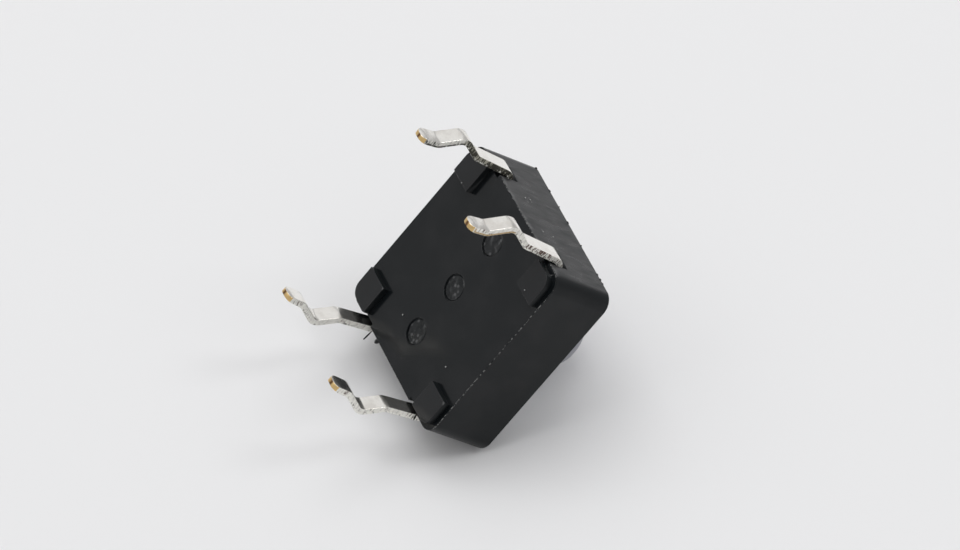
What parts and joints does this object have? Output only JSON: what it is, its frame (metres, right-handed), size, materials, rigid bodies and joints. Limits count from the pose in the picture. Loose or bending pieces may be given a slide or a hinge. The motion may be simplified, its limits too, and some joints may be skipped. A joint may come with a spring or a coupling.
{
  "type": "tactile push button switch",
  "caption": "Square through-hole tactile switch with a tall round plunger, snap dome, staked cover plate and kinked snap-in terminals.",
  "frame": {"origin": "centre of the seating plane, where the corner pads stand on the circuit board", "axes": "+Z along the plunger, away from the board; +X across the two rows of legs; +Y along a row"},
  "size_m": [0.0148, 0.0124, 0.015],
  "materials": {
    "base_plastic": "moulded, fine matt grain",
    "terminal_metal": "silver plated, bare brass at the cut ends",
    "dome_steel": "bright spring steel",
    "plunger_plastic": "moulded, satin",
    "cover_steel": "rolled sheet, satin"
  },
  "bodies": {
    "switch": {"base": "base_plastic", "contact_frame": "terminal_metal", "ring_frame": "terminal_metal", "snap_dome": "dome_steel", "cover_plate": "cover_steel"},
    "plunger": {"plunger": "plunger_plastic"}
  },
  "joints": [
    {"name": "plunger_press", "type": "slide", "parent": "switch", "child": "plunger", "axis": [0, 0, -1], "range_m": [0, 0.0003], "stiffness_N_per_m": 6000, "springref_m": -0.0001, "deforming": ["snap_dome"]}
  ]
}
